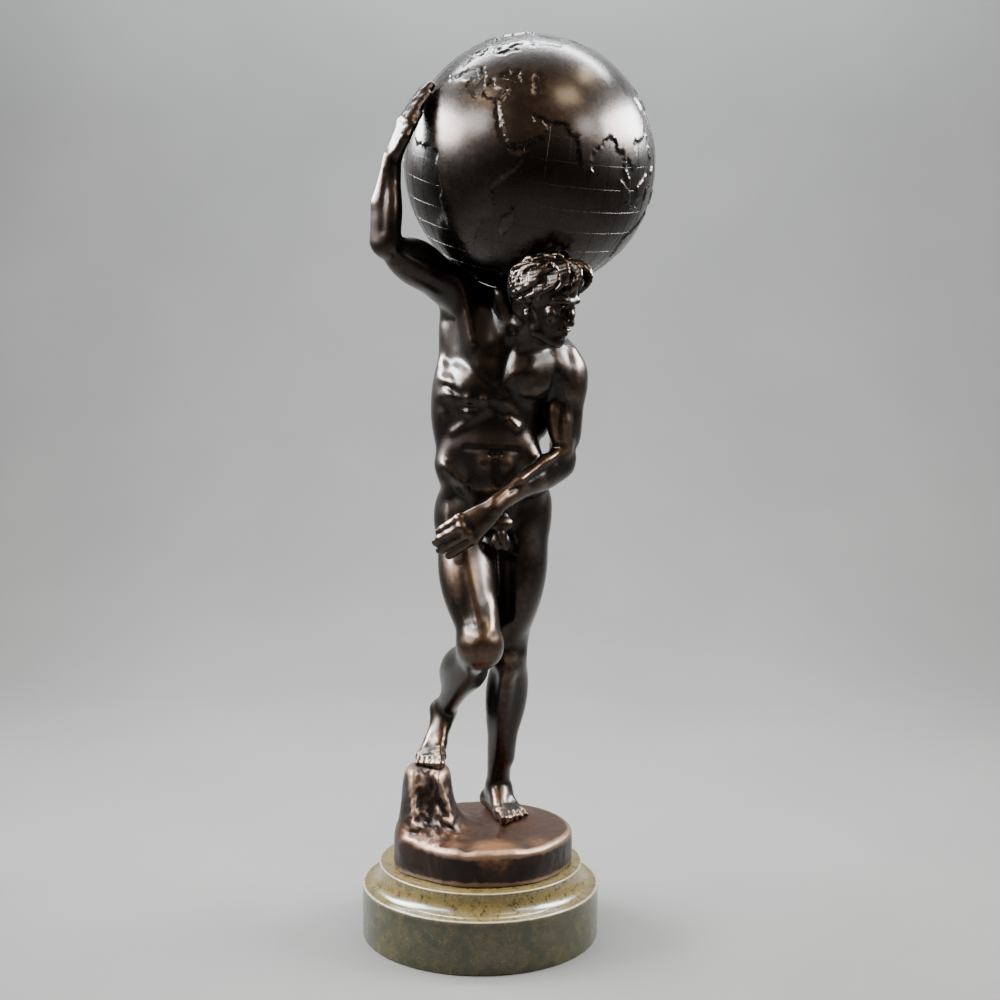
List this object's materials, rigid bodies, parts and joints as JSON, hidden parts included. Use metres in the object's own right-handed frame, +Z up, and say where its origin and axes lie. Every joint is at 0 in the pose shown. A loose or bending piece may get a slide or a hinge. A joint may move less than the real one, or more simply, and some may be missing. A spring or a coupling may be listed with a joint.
{
  "type": "atlas statue",
  "caption": "Bronze statue of a standing nude man carrying an Earth globe on his nape, on rocky ground and a round turned marble socle.",
  "frame": {"origin": "middle of the socle's round underside", "axes": "+Z up through the socle's turning axis, -Y towards the viewer the man's breast faces, +X towards the man's left"},
  "size_m": [0.262, 0.2257, 0.8214],
  "materials": {
    "marble": "polished green-brown mottled marble",
    "bronze": "bronze with a dark brown waxed patina, rubbed warmer on the high spots",
    "globe_bronze": "bronze with a dark brown waxed patina, smoother than the figure"
  },
  "bodies": {
    "root": {"socle": "marble", "figure": "bronze", "globe": "globe_bronze"}
  },
  "joints": []
}
